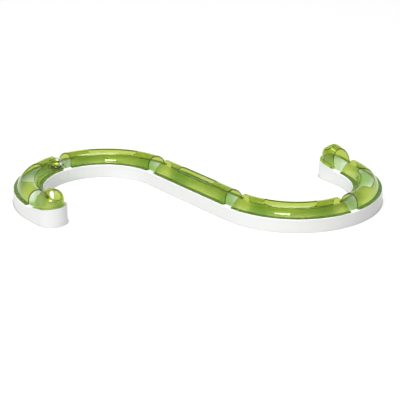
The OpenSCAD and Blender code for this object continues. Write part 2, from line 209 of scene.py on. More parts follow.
def moulded_abs(name, colour, roughness, ripple_mm, ripple_height_mm):
    """Moulded ABS: a Principled shader with IOR 1.53, a noise bump whose grain is one
    ripple wide, and a roughness that drifts a little over the piece."""
    material, tree = new_material(name)
    place = add_node(tree, "ShaderNodeTexCoord").outputs["Object"]
    peel = add_node(tree, "ShaderNodeTexNoise", {
        "Vector": place, "Scale": 1 / (ripple_mm * MM), "Detail": 2.0, "Roughness": 0.4,
    })
    drift = add_node(tree, "ShaderNodeTexNoise", {
        "Vector": place, "Scale": 1 / (DRIFT_MM * MM), "Detail": 1.0,
    })
    gloss = add_node(tree, "ShaderNodeMapRange", {
        "Value": drift.outputs["Fac"], "From Min": 0.3, "From Max": 0.7,
        "To Min": roughness * (1 - DRIFT_SHARE), "To Max": roughness * (1 + DRIFT_SHARE),
    })
    bump = add_node(tree, "ShaderNodeBump", {
        "Height": peel.outputs["Fac"], "Distance": ripple_height_mm * MM, "Strength": 1.0,
    })
    shader = add_node(tree, "ShaderNodeBsdfPrincipled", {
        "Base Color": linear(colour), "Roughness": gloss.outputs["Result"], "IOR": 1.53,
        "Normal": bump.outputs["Normal"],
    })
    add_node(tree, "ShaderNodeOutputMaterial", {"Surface": shader.outputs["BSDF"]})
    return material


# The eye reads a clean, cold white with long soft reflections along the walls
white_abs = moulded_abs("abs_white_polished_mould", "F1F2F0", 0.22, 6.0, 0.02)
# The pod in the ball is the same plastic in black from a fine-eroded tool, which looks dull.
# Such a grain is about 0.1 mm wide, and here it is drawn coarser so that it can show
black_abs = moulded_abs("abs_black_eroded_mould", "1B1D22", 0.5, 0.6, 0.03)
print("moulded plastics:", white_abs.name, black_abs.name)

# %% [markdown]
# The covers are clear styrene-based plastic, dyed in the mass. Light loses its red and blue
# on the way through, so one wall looks lime and two look leaf green, and a cut edge, where
# light has run a long way inside the sheet, looks dark green. What a dye takes is a share
# for each millimetre, so the colour behind one wall gives the colour behind any other.

# %% Dye in the depth of a plastic
# What white looks like behind one wall of a cover
LIME_WALL = "C0CF59"
# The volume's density lies a little above the greatest loss, or that channel would be black
DENSITY_MARGIN = 1.02


def absorption(through, wall_mm):
    """Absorption of a dyed plastic: for each channel the loss per metre is minus the
    logarithm of what comes through a wall, over the wall. The Volume node takes it as
    density times one minus its colour."""
    loss = -np.log(through) / (wall_mm * MM)
    density = loss.max() * DENSITY_MARGIN
    return density, (*(1 - loss / density).tolist(), 1.0)


for walls, words in ((1, "one wall"), (2, "two walls")):
    print("white behind", words, (np.array(linear(LIME_WALL)[:3]) ** walls).round(2))

# %% [markdown]
# A real dye sits in the depth alone. Here most of it is given to the two faces of a wall
# and the rest to an absorbing volume, or the cut edges would turn black. Lamps have to reach
# the white channel under a cover, so a ray to a lamp, and one that a dull surface has
# scattered, passes straight through. It loses a little more than the dye takes, because the
# walls reflect and lead away a part.

# %% Clear plastics
# Share of the dye, as a power, that the two faces of a wall take
SKIN_SHARE = 0.88
# No channel is quite shut or quite open, so that its logarithm stays a plain number
SHUT, OPEN = 0.01, 0.99


def clear_plastic(name, ior, roughness, behind_wall, wall_mm, let_in="FFFFFF"):
    """Clear plastic. The colour that white takes behind a wall is split in two powers, one
    for its two faces and one for the depth between them. Light that passes straight takes
    at each face the root of the faces' colour times let_in, which is what a wall leaves of
    a lamp's light after throwing back a part and leading away another."""
    material, tree = new_material(name)
    through = np.clip(linear(behind_wall)[:3], SHUT, OPEN)
    skin = through ** SKIN_SHARE
    density, colour = absorption(through ** (1 - SKIN_SHARE), wall_mm)
    face = np.sqrt(skin * linear(let_in)[:3])
    surface = add_node(tree, "ShaderNodeBsdfPrincipled", {
        "Base Color": (*skin.tolist(), 1.0), "Roughness": roughness, "IOR": ior,
        "Transmission Weight": 1.0,
    })
    open_to_lamps = add_node(tree, "ShaderNodeBsdfTransparent", {
        "Color": (*face.tolist(), 1.0),
    })
    ray = add_node(tree, "ShaderNodeLightPath")
    scattered = add_node(tree, "ShaderNodeMath", {
        0: ray.outputs["Diffuse Depth"], 1: 0.5,
    }, operation="GREATER_THAN")
    passing = add_node(tree, "ShaderNodeMath", {
        0: ray.outputs["Is Shadow Ray"], 1: scattered.outputs["Value"],
    }, operation="MAXIMUM")
    both = add_node(tree, "ShaderNodeMixShader", {
        "Fac": passing.outputs["Value"], 1: surface.outputs["BSDF"],
        2: open_to_lamps.outputs["BSDF"],
    })
    dye = add_node(tree, "ShaderNodeVolumeAbsorption", {
        "Color": colour, "Density": density,
    })
    add_node(tree, "ShaderNodeOutputMaterial", {
        "Surface": both.outputs["Shader"], "Volume": dye.outputs["Volume"],
    })
    return material


# White seen through one 2 mm wall of the covers looks lime
green_clear = clear_plastic("styrene_clear_lime", 1.57, 0.015, LIME_WALL, COVER_WALL,
                            let_in="A8D0CA")
# The ball is clear polycarbonate with the faint grey of a hard-wearing shell
ball_clear = clear_plastic("polycarbonate_clear", 1.585, 0.02, "F2F5F6", COVER_WALL)
# The light's body is clear epoxy, which looks like a drop of water
light_clear = clear_plastic("epoxy_clear", 1.5, 0.03, "F4F6FA", 5.0)
print("clear plastics:", green_clear.name, ball_clear.name, light_clear.name)

# %% [markdown]
# What shows through the ball is small: a dark pod with a board and two cells in it. They
# still get real finishes, a satin solder mask over glass fibre and brushed nickel. The
# threads are two sets of waves that cross, and the brush marks a noise drawn out one way.

# %% Board and cells
# A wave texture at scale 1 draws a band this wide, in metres
WAVE_BAND = 0.31
# The grain of brushed metal is this many times longer than it is wide
GRAIN_STRETCH = 10


def woven_board(name, colour, thread_mm):
    """Solder mask over glass cloth: two sets of waves, one thread apart, bump the shader."""
    material, tree = new_material(name)
    place = add_node(tree, "ShaderNodeTexCoord").outputs["Object"]
    warp = add_node(tree, "ShaderNodeTexWave", {
        "Vector": place, "Scale": WAVE_BAND / (thread_mm * MM),
    }, bands_direction="X")
    weft = add_node(tree, "ShaderNodeTexWave", {
        "Vector": place, "Scale": WAVE_BAND / (thread_mm * MM),
    }, bands_direction="Y")
    cloth = add_node(tree, "ShaderNodeMath", {
        0: warp.outputs["Fac"], 1: weft.outputs["Fac"],
    }, operation="MAXIMUM")
    bump = add_node(tree, "ShaderNodeBump", {
        "Height": cloth.outputs["Value"], "Distance": 0.02 * MM,
    })
    shader = add_node(tree, "ShaderNodeBsdfPrincipled", {
        "Base Color": linear(colour), "Roughness": 0.35, "IOR": 1.52,
        "Normal": bump.outputs["Normal"],
    })
    add_node(tree, "ShaderNodeOutputMaterial", {"Surface": shader.outputs["BSDF"]})
    return material


def brushed_nickel(name, colour, grain_mm):
    """Brushed nickel plate: a noise stretched ten to one along x roughens the metal."""
    material, tree = new_material(name)
    place = add_node(tree, "ShaderNodeTexCoord").outputs["Object"]
    along = add_node(tree, "ShaderNodeMapping", {
        "Vector": place, "Scale": (1 / GRAIN_STRETCH, 1.0, 1.0),
    })
    grain = add_node(tree, "ShaderNodeTexNoise", {
        "Vector": along.outputs["Vector"], "Scale": 1 / (grain_mm * MM),
    })
    gloss = add_node(tree, "ShaderNodeMapRange", {
        "Value": grain.outputs["Fac"], "To Min": 0.2, "To Max": 0.45,
    })
    shader = add_node(tree, "ShaderNodeBsdfPrincipled", {
        "Base Color": linear(colour), "Metallic": 1.0, "Roughness": gloss.outputs["Result"],
    })
    add_node(tree, "ShaderNodeOutputMaterial", {"Surface": shader.outputs["BSDF"]})
    return material


# The mask looks dark green and satin, and the cloth under it shows as a faint weave
board_mask = woven_board("solder_mask_on_glass_cloth", "0F4A2A", 0.5)
# Nickel is a warm light grey, and its brushed grain draws the highlights out to one side.
# Such a grain is a few hundredths of a millimetre wide, and is drawn coarser so that it shows
cell_nickel = brushed_nickel("nickel_plate_brushed", "C8C6C0", 0.3)
print("board and cells:", board_mask.name, cell_nickel.name)

# %% [markdown]
# A moulded cover is a sheet that has a thickness. It is made as two layers of points, one
# on each side of the wall, that share one list of faces. Wherever a face has no neighbour
# there is a real edge of the moulding, and a strip of faces closes it from layer to layer.

# %% Thick sheets
def grid_faces(rows, columns):
    """Corner numbers of the quads of a grid whose points are stored row after row."""
    i, j = np.meshgrid(np.arange(rows - 1), np.arange(columns - 1), indexing="ij")
    a = (i * columns + j).ravel()
    return np.stack([a, a + columns, a + columns + 1, a + 1], axis=1)


def join_patches(patches):
    """Stacks patches of (outer points, inner points, quads) and welds equal points, which
    are those that agree to a thousandth of a millimetre on both layers."""
    outer = np.concatenate([p[0].reshape(-1, 3) for p in patches])
    inner = np.concatenate([p[1].reshape(-1, 3) for p in patches])
    starts = np.cumsum([0] + [p[0].size // 3 for p in patches])[:-1]
    quads = np.concatenate([p[2] + s for p, s in zip(patches, starts)])
    key = np.round(np.hstack([outer, inner]), 3) + 0.0
    _, keep, where = np.unique(key, axis=0, return_index=True, return_inverse=True)
    return outer[keep], inner[keep], where.reshape(-1)[quads]


def open_edges(quads):
    """Edges that belong to one face only, as pairs of corner numbers."""
    edges = np.concatenate([quads[:, [k, (k + 1) % 4]] for k in range(4)])
    edges = edges[edges[:, 0] != edges[:, 1]]
    _, first, count = np.unique(
        np.sort(edges, 1), axis=0, return_index=True, return_counts=True)
    return edges[first[count == 1]]


def sheet_points_and_faces(patches):
    """Both layers' points in one list, with the faces of the outer layer, of the inner one
    turned round, and of the strips that close every open edge."""
    outer, inner, quads = join_patches(patches)
    n = len(outer)
    rims = open_edges(quads)
    strips = np.stack([rims[:, 1], rims[:, 0], rims[:, 0] + n, rims[:, 1] + n], axis=1)
    faces = np.concatenate([quads, quads[:, ::-1] + n, strips])
    return np.concatenate([outer, inner]), faces


sample = grid_faces(3, 4)
print(f"a grid of 3 by 4 points: {len(sample)} faces, {len(open_edges(sample))} open edges")

# %% [markdown]
# A mesh becomes a piece of the toy in one step. Points that coincide are welded, the faces
# are turned outwards, and edges that turn sharply get a small round. Then the piece is told
# which body it rides on, and the frame's solid that it stands for is hidden.

# %% From points to a piece
# Points that a weld joins are nearer than this, in millimetres
WELD_MM = 0.0005
# Edges that turn by more than this get a small round
SHARP_TURN = math.radians(35)


def solid_from(name, points_mm, faces, material, body, node, bevel_mm=0.0):
    """Makes a closed mesh of points in millimetres: a quad with a repeated corner becomes
    a triangle, equal points are welded, normals turn outwards, sharp edges get a small
    round, and the piece rides on its body in place of its node."""
    same = faces == np.roll(faces, -1, axis=1)
    pinched = same.any(axis=1)
    keep = (same[pinched].argmax(axis=1)[:, None] + np.arange(1, 4)) % 4
    triangles = np.take_along_axis(faces[pinched], keep, axis=1)
    polygons = faces[~pinched].tolist() + triangles.tolist()
    mesh = bpy.data.meshes.new(name)
    mesh.from_pydata((points_mm * MM).tolist(), [], polygons)
    shape = bmesh.new()
    shape.from_mesh(mesh)
    bmesh.ops.remove_doubles(shape, verts=shape.verts, dist=WELD_MM * MM)
    bmesh.ops.recalc_face_normals(shape, faces=shape.faces)
    open_count = sum(1 for edge in shape.edges if not edge.is_manifold)
    shape.to_mesh(mesh)
    shape.free()
    mesh.polygons.foreach_set("use_smooth", np.ones(len(mesh.polygons), bool))
    mesh.materials.append(material)
    piece = bpy.data.objects.new(name, mesh)
    bpy.context.scene.collection.objects.link(piece)
    if bevel_mm:
        bevel = piece.modifiers.new("edge_round", "BEVEL")
        bevel.width = bevel_mm * MM
        bevel.segments = 2
        bevel.limit_method = "ANGLE"
        bevel.angle_limit = SHARP_TURN
        bevel.harden_normals = True
    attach(piece, body)
    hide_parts(node)
    print(f"{name}: {len(mesh.polygons)} faces, {open_count} open edges")
    return piece


print(f"weld {WELD_MM} mm, edges over {math.degrees(SHARP_TURN):.0f} degrees are rounded")

# %% [markdown]
# Across the track, every cover has the same section: a flange that lies on the rim, a
# small fillet, and a half-round arch. The outer and the inner layer each get a list of
# (y, z) places with the same number of points, so that they pair up. In the middle, where
# the paw slot is cut straight down, both layers use the same y.

# %% Section of a cover
# Half the width of the band round the slot, where both layers use the same y
BAND_HALF = 15.0
# Points along the flange's corner, the fillet and the arch
CORNER_POINTS, FILLET_POINTS, ARCH_POINTS = 6, 4, 10
# The inner layer has no fillet. It has as many points on the flat, this far from the arch
FLAT_STEPS = np.array([1.2, 0.8, 0.4, 0.0])


def arch_z(y, r):
    """Height of the arch at y: the axis plus the root of r squared minus y squared."""
    return AXIS_Z + np.sqrt(np.maximum(r * r - y * y, 0.0))


def side_section(r, surface_z):
    """One side of the section from the flange's edge in to the slot's band: an arc of
    sines at the flange's corner, a straight flange, a fillet or a corner, then equal
    steps of angle up the arch."""
    corner_turn = np.linspace(math.pi / 2, 0, CORNER_POINTS)
    corner = FLANGE_HALF - FLANGE_CORNER * (1 - np.sin(corner_turn))
    start = math.asin((surface_z - AXIS_Z) / r)
    foot_y = r * math.cos(start)
    if surface_z > RIM_Z:
        turn = np.linspace(0, math.pi / 2, FILLET_POINTS)
        fillet_y = foot_y + FLANGE_FILLET * (1 - np.sin(turn))
        fillet_z = surface_z + FLANGE_FILLET * (1 - np.cos(turn))
        start = math.asin((surface_z + FLANGE_FILLET - AXIS_Z) / r)
        fillet_y[-1] = r * math.cos(start)
    else:
        fillet_y = foot_y + FLAT_STEPS
        fillet_z = np.full(FILLET_POINTS, surface_z)
    end = math.acos(BAND_HALF / r)
    angle = np.linspace(start, end, ARCH_POINTS + 1)[1:]
    y = np.concatenate([corner, fillet_y, r * np.cos(angle)])
    z = np.concatenate([
        np.full(CORNER_POINTS, surface_z), fillet_z, AXIS_Z + r * np.sin(angle),
    ])
    return y, z


outer_side = side_section(cover_r, RIM_Z + FLANGE_T)
inner_side = side_section(CHANNEL_R, RIM_Z)
band_y = np.linspace(BAND_HALF, -BAND_HALF, 15)
print(f"section: {len(outer_side[0])} points a side, {len(band_y)} across the slot's band")

# %% [markdown]
# The straight and the curved covers differ only in how a distance along the track and a
# distance across it become a place. So both are made by one function, in flat coordinates
# (s along the centreline, y across), and a second one bends them round the loop. Each end
# leans back, and its distance from the joint grows with height and at the rounded corners.

# %% Where a cover ends, and how it bends
curve_len = CURVE_R * math.pi / 2


def end_distance(y, z):
    """Distance from the joint to a cover's end: the setback, plus the lean times the
    height above the rim, plus what the round corner of the flange takes off."""
    over = np.clip(np.abs(y) - (FLANGE_HALF - FLANGE_CORNER), 0, FLANGE_CORNER)
    corner = FLANGE_CORNER - np.sqrt(FLANGE_CORNER ** 2 - over ** 2)
    return SETBACK + (z - RIM_Z) * LEAN + corner


def end_station(y, z, curved):
    """Distance s from the module's middle to the cover's end. On a curve the end is
    parallel to the joint, so the angle is the arc sine of the distance over the radius."""
    if not curved:
        return STRAIGHT_LEN / 2 - end_distance(y, z)
    return CURVE_R * (math.pi / 4 - np.arcsin(end_distance(y, z) / (CURVE_R - y)))


def laid(s, y, z, curved):
    """Place of (s, y, z): along x on the straight, and round the loop on a curve, at the
    angle s over the loop's radius and at the radius less y."""
    if not curved:
        return np.stack([s, y, z], axis=-1)
    angle = math.pi / 4 + s / CURVE_R
    return np.stack([(CURVE_R - y) * np.cos(angle), (CURVE_R - y) * np.sin(angle), z], axis=-1)


print(f"a cover ends {end_distance(0.0, RIM_Z):.1f} mm from the joint at the rim, "
      f"{end_distance(0.0, AXIS_Z + cover_r):.1f} mm at the top")

# %% [markdown]
# The paw slot is cut straight down through the arch, and its corners are round. A grid has
# no such corners, so rings of faces go between the two: the outermost is a rectangle on the
# grid, the innermost is the slot's edge, and each point of one has a partner on the other.
# On a curve the slot's two ends are parallel to each other.

# %% Edge of the paw slot
def corner_rounds(side, half_len, curved):
    """The rounds of the slot's corners in plan, where x points out of the loop and d runs
    along the track: their centres, and the direction in which the side faces there. On a
    curve the centre keeps its radius, so x is the root of that squared less d squared."""
    d = half_len - SLOT_CORNER
    x = -side * (SLOT_HALF - SLOT_CORNER)
    faces = np.where(side > 0, math.pi, 0.0)
    if curved:
        x = x + CURVE_R
        return np.sqrt(x * x - d * d), d, faces + np.arcsin(d / x)
    return x, d, faces


def slot_edge(s, y, half_len, rect_s, curved):
    """Points on the slot's edge for points on the rectangle round it. Along the sides and
    across the ends they take the same share of the way, and at the corners the same share
    of the turn from the side's direction to the end's, which is 90 degrees."""
    side, end = np.where(y > 0, 1.0, -1.0), np.where(s > 0, 1.0, -1.0)
    x, d, faces = corner_rounds(side, half_len, curved)
    other_x = corner_rounds(-side, half_len, curved)[0]
    on_side = np.isclose(np.abs(y), BAND_HALF)
    flat_y = SLOT_HALF - SLOT_CORNER
    way = np.where(on_side, np.abs(s) - d, rect_s - d + BAND_HALF - np.abs(y))
    turn = np.clip(way / (rect_s - d + BAND_HALF - flat_y), 0, 1)
    direction = faces + (math.pi / 2 - faces) * turn
    across_end = ~on_side & (np.abs(y) <= flat_y)
    end_x = (x + other_x) / 2 + (x - other_x) / 2 * np.abs(y) / flat_y
    edge_x = np.where(across_end, end_x, x + SLOT_CORNER * np.cos(direction))
    edge_d = np.where(across_end, half_len, d + SLOT_CORNER * np.sin(direction))
    edge_s, edge_y, stretch = edge_d, -edge_x, 1.0
    if curved:
        edge_s = CURVE_R * np.arctan2(edge_d, edge_x)
        edge_y = CURVE_R - np.hypot(edge_x, edge_d)
        stretch = CURVE_R / d * np.arctan2(d, x)
    along = on_side & (np.abs(s) <= d)
    return np.where(along, s * stretch, end * edge_s), np.where(along, side * SLOT_HALF, edge_y)


print(f"slot {2 * SLOT_HALF:.0f} mm wide, {STRAIGHT_LEN * SLOT_SHARE:.0f} mm long on the straight "
      f"and {curve_len * SLOT_SHARE:.0f} mm on a curve")

# %% [markdown]
# A cover is put together from patches, and each of them is a plain grid: the two long sides
# from the flange up to the band beside the slot, the band's two ends, and the rings round
# the slot. Points on a border that two patches share are worked out alike, so they weld.

# %% Patches of an arched cover
def arch_cover_patches(length, curved, stations=41, end_rows=9, rings=5):
    """The cover as patches: two long sides, a strip at each end of the slot, and rings
    that pass from the slot's round-cornered edge to the rectangle about it."""
    half_len = length * SLOT_SHARE / 2
    inner_x = corner_rounds(1.0, half_len, curved)[0]
    reach = CURVE_R * math.atan2(half_len, inner_x) if curved else half_len
    rect_s = reach + (BAND_HALF - SLOT_HALF)
    shares = np.linspace(0, 1, end_rows)
    middle = np.linspace(-rect_s, rect_s, stations)
    radii = (cover_r, CHANNEL_R)
    patches = []

    for side in (1, -1):
        y_layers = [side * outer_side[0], side * inner_side[0]]
        z_layers = [outer_side[1], inner_side[1]]
        layers = []
        for y, z in zip(y_layers, z_layers):
            end_high = end_station(y, z, curved)
            high = rect_s + shares[1:, None] * (end_high - rect_s)[None, :]
            low = -high[::-1]
            across = np.broadcast_to(middle[:, None], (stations, len(y)))
            s = np.concatenate([low, across, high])
            layers.append(laid(s, *np.broadcast_arrays(y, z, s)[:2], curved))
        patches.append((*layers, grid_faces(*layers[0].shape[:2])))

    for end in (1, -1):
        layers = []
        for r in radii:
            z = arch_z(band_y, r)
            end_high = end_station(band_y, z, curved)
            s = end * (rect_s + shares[:, None] * (end_high - rect_s)[None, :])
            layers.append(laid(s, *np.broadcast_arrays(band_y, z, s)[:2], curved))
        patches.append((*layers, grid_faces(*layers[0].shape[:2])))

    loop_s = np.concatenate([
        middle[:-1], np.full(len(band_y) - 1, rect_s), middle[::-1][:-1],
        np.full(len(band_y), -rect_s),
    ])
    loop_y = np.concatenate([
        np.full(stations - 1, BAND_HALF), band_y[:-1], np.full(stations - 1, -BAND_HALF),
        band_y[::-1],
    ])
    hole_s, hole_y = slot_edge(loop_s, loop_y, half_len, rect_s, curved)
    t = np.linspace(0, 1, rings)[:, None]
    s = hole_s + t * (loop_s - hole_s)
    y = hole_y + t * (loop_y - hole_y)
    layers = [laid(s, y, arch_z(y, r), curved) for r in radii]
    patches.append((*layers, grid_faces(*layers[0].shape[:2])))
    return patches


straight_patches = arch_cover_patches(STRAIGHT_LEN, False)
curve_patches = arch_cover_patches(curve_len, True)
for kind, made in (("straight", straight_patches), ("curved", curve_patches)):
    print(f"{kind} cover: {len(made)} patches, {sum(len(p[2]) for p in made)} faces on each layer")

# %% [markdown]
# Four pegs under each cover stand in sockets in the rim and keep it from sliding. A peg is a
# profile of (radius, height) turned about its own axis, with a cone at its tip that finds
# the socket. It is a closed shell of its own, a hair below the flange.

# %% Pegs under a cover
# What is left between a peg's top and the flange, so that the two faces don't coincide
HAIR = 0.02


def peg_mesh(centre, flange_z, sides=20):
    """A locating peg: a cylinder with a small cone at its tip. Its points are the centre
    plus each radius of the profile times the cosine and the sine of the turn."""
    tip_z, top_z = flange_z - PEG_LEN, flange_z - HAIR
    profile = [(0.0, tip_z), (PEG_TIP_R, tip_z), (PEG_R, tip_z + PEG_TIP_LEN),
               (PEG_R, top_z), (0.0, top_z)]
    turn = np.linspace(0, 2 * math.pi, sides + 1)
    points = np.array([
        [centre[0] + r * np.cos(turn), centre[1] + r * np.sin(turn), np.full(sides + 1, z)]
        for r, z in profile
    ]).transpose(0, 2, 1)
    return points.reshape(-1, 3), grid_faces(len(profile), sides + 1)


def with_pegs(points, faces, pegs):
    """Adds the pegs, given as (centre, height of the flange there), to a cover's mesh."""
    for centre, flange_z in pegs:
        more_points, more_faces = peg_mesh(centre, flange_z)
        faces = np.concatenate([faces, more_faces + len(points)])
        points = np.concatenate([points, more_points])
    return points, faces


print(f"peg {2 * PEG_R:.0f} mm thick and {PEG_LEN} mm long, {peg_y:.1f} mm off the centreline")

# %% [markdown]
# The straight cover is in its place as soon as it is made. The four curved ones are one
# moulding: the same mesh is turned to its quarter of a loop and moved to the loop's centre.

# %% Straight and curved covers
# A moulded edge is never quite sharp, and this small round draws the bright line along it
EDGE_ROUND = 0.35


def turned(points, degrees, shift):
    """Points turned about +Z by an angle and moved in plan."""
    c, s = math.cos(math.radians(degrees)), math.sin(math.radians(degrees))
    x = c * points[:, 0] - s * points[:, 1] + shift[0]
    y = s * points[:, 0] + c * points[:, 1] + shift[1]
    return np.stack([x, y, points[:, 2]], axis=1)


straight_pegs = [
    ((x * (STRAIGHT_LEN / 2 - PEG_IN), y * peg_y), RIM_Z) for x in (-1, 1) for y in (-1, 1)
]
points, faces = with_pegs(*sheet_points_and_faces(straight_patches), straight_pegs)
solid_from("straight_cover_clear", points, faces, green_clear,
           "straight_cover_body", "straight_cover", EDGE_ROUND)

peg_turn = math.asin(PEG_IN / CURVE_R)
curve_pegs = [
    (((CURVE_R + y * peg_y) * math.cos(a), (CURVE_R + y * peg_y) * math.sin(a)), RIM_Z)
    for a in (peg_turn, math.pi / 2 - peg_turn) for y in (-1, 1)
]
curve_points, curve_faces = with_pegs(*sheet_points_and_faces(curve_patches), curve_pegs)
left_loop = (-STRAIGHT_LEN / 2, -CURVE_R)
right_loop = (STRAIGHT_LEN / 2, CURVE_R)
for number, start, centre in (
    (1, 180, left_loop), (2, 90, left_loop), (3, -90, right_loop), (4, 0, right_loop),
):
    solid_from(f"curve_cover_{number}_clear", turned(curve_points, start, centre), curve_faces,
               green_clear, f"curve_cover_{number}_body",
               f"curve_cover_{number}", EDGE_ROUND)

# %% [markdown]
# The end covers are hoods. A half barrel climbs from the open mouth to the dome, the dome
# turns on to the level, and upright walls carry both down to the flange. All three are
# one surface: a half circle is pushed up the slope, then swung about the dome's centre
# until it lies flat, then lowered. The peep hole sits in the swung part, so there the grid
# runs in rings from the hole out to the two half circles.

# %% Barrel and dome of an end cover
# Angles of the half circle, and rows along the barrel and from the hole to the dome's foot
HALF_TURN = np.linspace(0, math.pi, 33)
BARREL_ROWS, DOME_RINGS = 9, 9
# The dome starts this far outside the collar, in radians, so that their rings stay apart
COLLAR_STEP = 0.002

barrel_pitch = math.atan((DOME_Z - MOUTH_Z) / (DOME_X - SETBACK))
climb = np.array([math.cos(barrel_pitch), 0.0, math.sin(barrel_pitch)])
climb_up = np.array([-math.sin(barrel_pitch), 0.0, math.cos(barrel_pitch)])
dome_centre = np.array([DOME_X, 0.0, DOME_Z])
across = np.array([0.0, 1.0, 0.0])
hole_axis = np.array([math.cos(HOLE_PITCH), 0.0, math.sin(HOLE_PITCH)])
hole_up = np.array([-math.sin(HOLE_PITCH), 0.0, math.cos(HOLE_PITCH)])
collar_r = HOLE_R + COVER_WALL
hole_face = math.sqrt(cover_r ** 2 - collar_r ** 2)


def barrel_layer(r):
    """Half barrel: dome centre, less the way down the slope, plus a half circle of radius
    r square to it. The way ends where the point meets the leaning end face."""
    lift = r * np.sin(HALF_TURN)
    way = (DOME_X - SETBACK - (DOME_Z - RIM_Z) * LEAN
           - lift * (math.sin(barrel_pitch) + LEAN * math.cos(barrel_pitch)))
    way = way / (math.cos(barrel_pitch) - LEAN * math.sin(barrel_pitch))
    share = np.linspace(0, 1, BARREL_ROWS)[:, None]
    return (dome_centre - (share * way)[..., None] * climb
            + (r * np.cos(HALF_TURN))[None, :, None] * across
            + lift[None, :, None] * climb_up)


def dome_layer(r, ring_depth):
    """Dome between the hole and its two half circles: each boundary point keeps its
    azimuth about the hole's axis, and its angle from that axis shrinks to the hole's. Two
    more rings make the flat collar at the given depth along the axis."""
    side = np.cos(HALF_TURN)[:, None] * across
    rise = np.sin(HALF_TURN)[:, None]
    level_half = (side + rise * np.array([1.0, 0.0, 0.0]))[::-1]
    border = np.concatenate([side + rise * climb_up, level_half[1:]])
    azimuth = np.arctan2(border @ across, border @ hole_up)
    far = np.arccos(np.clip(border @ hole_axis, -1, 1))
    near = math.asin(collar_r / r)
    out = np.cos(azimuth)[:, None] * hole_up + np.sin(azimuth)[:, None] * across
    rings = [HOLE_R * out + ring_depth * hole_axis, collar_r * out + ring_depth * hole_axis]
    for share in np.linspace(0, 1, DOME_RINGS):
        angle = (near + (far - near) * share + COLLAR_STEP * (1 - share))[:, None]
        rings.append(r * (np.cos(angle) * hole_axis + np.sin(angle) * out))
    rings[-1] = r * border
    return dome_centre + np.array(rings)


print(f"barrel climbs {math.degrees(barrel_pitch):.1f} degrees, peep hole {2 * HOLE_R:.1f} mm "
      f"wide, its axis {math.degrees(HOLE_PITCH):.0f} degrees up")

# %% [markdown]
# Below the barrel and the dome are upright walls, and round their foot runs the flange that
# lies on the rim. The grid goes along one side, round the tip and back along the other, like
# the edge of a horseshoe. The rim climbs to the tip, so heights are counted from that slope.

# %% Walls and flange of an end cover
# Rows down the wall
WALL_ROWS = 7


def skirt_layer(r, surface):
    """Walls and flange: stations go along one side, round the tip and back, rows go down
    the wall and out along the flange. Heights are counted from the sloping rim, whose
    height is the slope times x, and surface is the flange's own height above it."""
    tip = HALF_TURN[1:-1]
    share = np.linspace(1, 0, BARREL_ROWS)
    back = np.concatenate([share, np.zeros(len(tip)), share[::-1]])
    way_x = np.concatenate([np.zeros(BARREL_ROWS), np.sin(tip), np.zeros(BARREL_ROWS)])
    way_y = np.concatenate([np.ones(BARREL_ROWS), np.cos(tip), -np.ones(BARREL_ROWS)])

    def mouth_x(above_rim):
        """The leaning end face at a height above the rim: x is the setback plus the lean
        times the whole height, and that height grows by the slope times x."""
        return (SETBACK + above_rim * LEAN) / (1 - CAP_SLOPE * LEAN)

    spring = barrel_layer(r)[-1, 0]
    mouth_top = spring[2] - RIM_Z - CAP_SLOPE * spring[0]
    foot = surface + (FLANGE_FILLET if surface > 0 else 0)
    rows = []
    for share_down in np.linspace(0, 1, WALL_ROWS):
        end = mouth_x(mouth_top + (foot - mouth_top) * share_down)
        x = DOME_X + (end - DOME_X) * back + r * way_x
        top_z = DOME_Z - (DOME_Z - spring[2]) * back
        z = top_z + (RIM_Z + CAP_SLOPE * x + foot - top_z) * share_down
        rows.append(np.stack([x, r * way_y, z], axis=1))
    corner_turn = np.linspace(0, math.pi / 2, CORNER_POINTS)
    corner = FLANGE_HALF - FLANGE_CORNER * (1 - np.sin(corner_turn))
    if surface > 0:
        turn = np.linspace(math.pi / 2, 0, FILLET_POINTS)[1:]
        reach = np.concatenate([r + FLANGE_FILLET * (1 - np.sin(turn)), corner])
        lift = np.concatenate([FLANGE_FILLET * (1 - np.cos(turn)), np.zeros(CORNER_POINTS)])
    else:
        reach = np.concatenate([r + FLAT_STEPS[-2::-1], corner])
        lift = np.zeros(len(reach))
    for y_out, up in zip(reach, lift):
        out_share = (y_out - r) / (FLANGE_HALF - r)
        centre_x = DOME_X + (CAP_LEN - DOME_X) * out_share
        over = min(max(y_out - (FLANGE_HALF - FLANGE_CORNER), 0), FLANGE_CORNER)
        end = mouth_x(surface + up) + FLANGE_CORNER - math.sqrt(FLANGE_CORNER ** 2 - over ** 2)
        x = centre_x + (end - centre_x) * back + y_out * way_x
        rows.append(np.stack([x, y_out * way_y, RIM_Z + CAP_SLOPE * x + surface + up], axis=1))
    return np.array(rows)


print(f"flange climbs {math.degrees(math.atan(CAP_SLOPE)):.1f} degrees to the tip")

# %% [markdown]
# The two end covers are one moulding as well. Barrel, dome and skirt are joined and stand on
# four pegs, and the right cover is the left one turned half round.

# %% End covers
def end_cover_patches():
    """Barrel, dome and skirt, each as an outer and an inner layer."""
    depth = hole_face - COLLAR_LEN
    patches = []
    for outer, inner in (
        (barrel_layer(cover_r), barrel_layer(CHANNEL_R)),
        (dome_layer(cover_r, hole_face), dome_layer(CHANNEL_R, depth)),
        (skirt_layer(cover_r, FLANGE_T), skirt_layer(CHANNEL_R, 0.0)),
    ):
        patches.append((outer, inner, grid_faces(*outer.shape[:2])))
    return patches


cap_pegs = [((x, y * peg_y), RIM_Z + CAP_SLOPE * x) for x in (PEG_IN, DOME_X) for y in (-1, 1)]
points, faces = with_pegs(*sheet_points_and_faces(end_cover_patches()), cap_pegs)
for side, degrees, sign in (("left", 0, -1), ("right", 180, 1)):
    joint_place = (sign * STRAIGHT_LEN / 2, sign * 2 * CURVE_R)
    solid_from(f"{side}_end_cover_clear", turned(points, degrees, joint_place), faces,
               green_clear, f"{side}_end_cover_body", f"{side}_end_cover",
               EDGE_ROUND)

